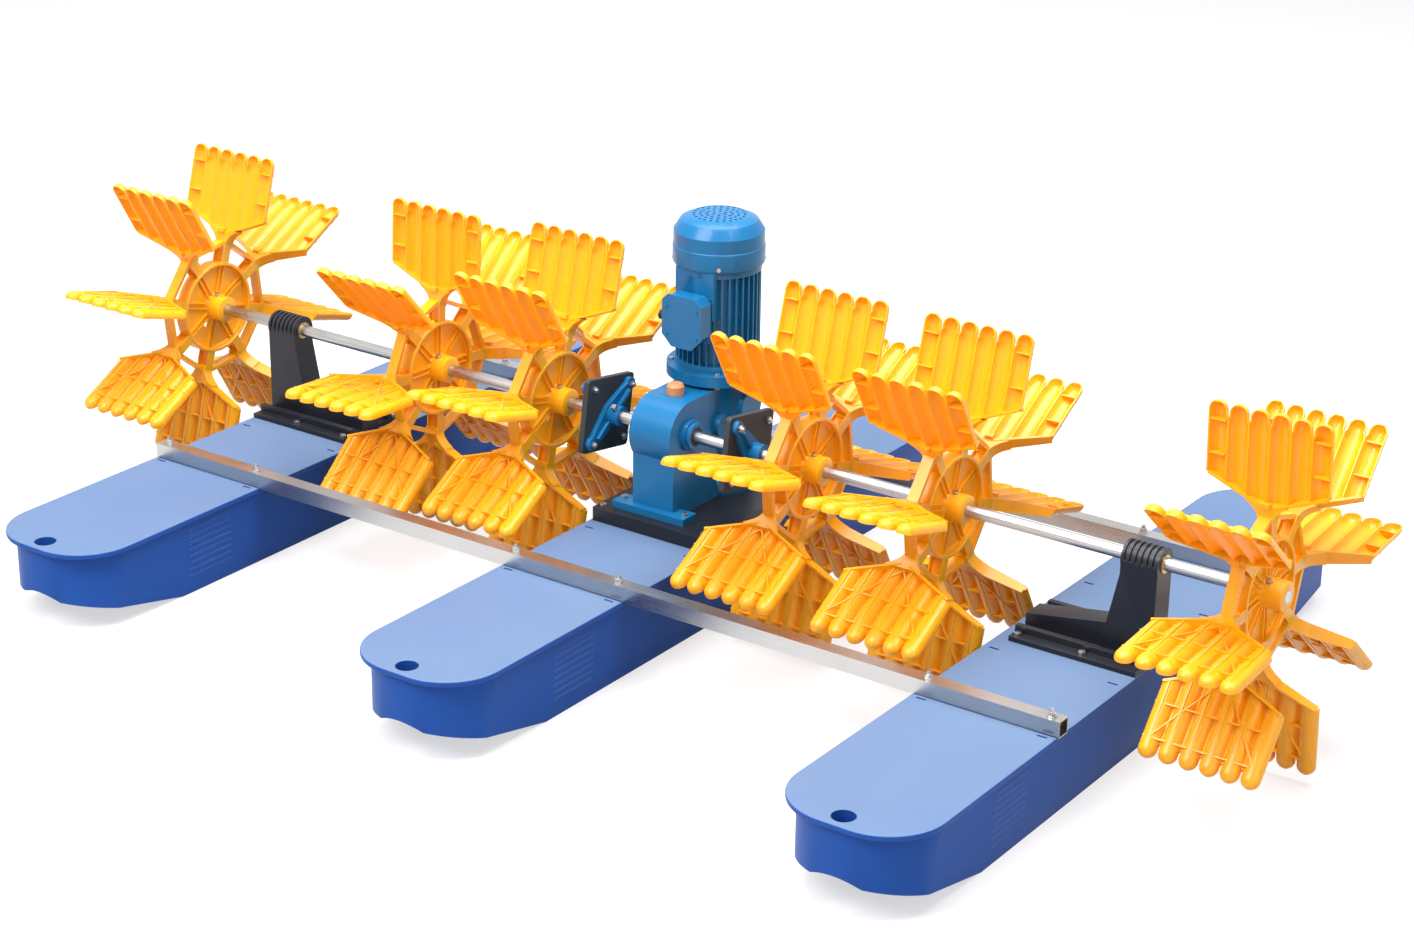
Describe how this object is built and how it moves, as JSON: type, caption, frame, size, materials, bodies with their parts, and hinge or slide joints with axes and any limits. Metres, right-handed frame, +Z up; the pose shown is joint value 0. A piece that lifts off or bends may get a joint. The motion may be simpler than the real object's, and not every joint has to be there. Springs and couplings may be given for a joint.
{
  "type": "paddle wheel aerator",
  "caption": "Floating pond aerator: blue floats on cross tubes carry a vertical gear motor that turns yellow paddle wheels on one shaft line through rubber couplings.",
  "frame": {"origin": "under the middle of the floats, on the plane they rest on", "axes": "+X along the paddle shaft, +Y along the floats away from the viewer, +Z up"},
  "size_m": [2.819, 1.76, 0.788],
  "materials": {
    "float_plastic": "moulded, satin",
    "black_plastic": "moulded, satin",
    "blue_enamel": "gloss enamel",
    "wheel_plastic": "moulded, gloss",
    "rubber": "matt",
    "bush_bronze": "turned",
    "plug_plastic": "moulded, satin",
    "machined_steel": "machined",
    "stainless": "brushed"
  },
  "bodies": {
    "frame": {"left_float": "float_plastic", "centre_float": "float_plastic", "right_float": "float_plastic", "front_cross_tube": "stainless", "rear_cross_tube": "stainless", "tube_bolts": "stainless", "left_bearing_stand": "black_plastic", "right_bearing_stand": "black_plastic", "left_bearing_bush": "bush_bronze", "right_bearing_bush": "bush_bronze", "stand_bolts": "stainless", "motor_base": "black_plastic", "motor_base_bolts": "stainless", "gearbox_housing": "blue_enamel", "gearbox_cover": "blue_enamel", "gearbox_screws": "stainless", "oil_plug": "plug_plastic", "output_bearings": "machined_steel", "output_seals": "rubber", "countershaft_bearings": "machined_steel", "idler_pin": "machined_steel", "motor_flange": "blue_enamel", "motor_flange_bolts": "stainless", "motor_frame": "blue_enamel", "motor_end_shield": "blue_enamel", "motor_bearings": "machined_steel", "stator_core": "machined_steel", "fan_cover": "blue_enamel", "motor_screws": "stainless", "terminal_box": "blue_enamel", "terminal_box_lid": "blue_enamel", "cable_gland": "black_plastic"},
    "paddle_line": {"output_shaft": "stainless", "output_gear": "machined_steel", "left_drive_flange": "blue_enamel", "right_drive_flange": "blue_enamel", "left_rubber_plate": "rubber", "right_rubber_plate": "rubber", "left_shaft_flange": "blue_enamel", "right_shaft_flange": "blue_enamel", "coupling_bolts": "stainless", "left_paddle_shaft": "stainless", "right_paddle_shaft": "stainless", "left_outer_wheel": "wheel_plastic", "left_middle_wheel": "wheel_plastic", "left_inner_wheel": "wheel_plastic", "right_inner_wheel": "wheel_plastic", "right_middle_wheel": "wheel_plastic", "right_outer_wheel": "wheel_plastic", "wheel_set_screws": "stainless"},
    "idler": {"idler_gear": "machined_steel"},
    "countershaft": {"countershaft": "machined_steel", "bevel_gear": "machined_steel"},
    "rotor": {"rotor_shaft": "machined_steel", "rotor_core": "machined_steel", "bevel_pinion": "machined_steel", "cooling_fan": "black_plastic"}
  },
  "joints": [
    {"name": "paddle_spin", "type": "hinge", "parent": "frame", "child": "paddle_line", "pos_m": [0, 0, 0.371], "axis": [1, 0, 0], "continuous": true},
    {"name": "idler_spin", "type": "hinge", "parent": "frame", "child": "idler", "pos_m": [-0.049, 0.1075, 0.3606], "axis": [1, 0, 0], "continuous": true},
    {"name": "countershaft_spin", "type": "hinge", "parent": "frame", "child": "countershaft", "pos_m": [-0.02, 0.165, 0.393], "axis": [1, 0, 0], "continuous": true},
    {"name": "rotor_spin", "type": "hinge", "parent": "frame", "child": "rotor", "pos_m": [-0.02, 0.165, 0.393], "axis": [0, 0, 1], "continuous": true}
  ],
  "couplings": [
    {"joint": "idler_spin", "follows": "paddle_spin", "ratio": -1},
    {"joint": "countershaft_spin", "follows": "paddle_spin", "ratio": 4.5},
    {"joint": "rotor_spin", "follows": "paddle_spin", "ratio": -13.5}
  ]
}
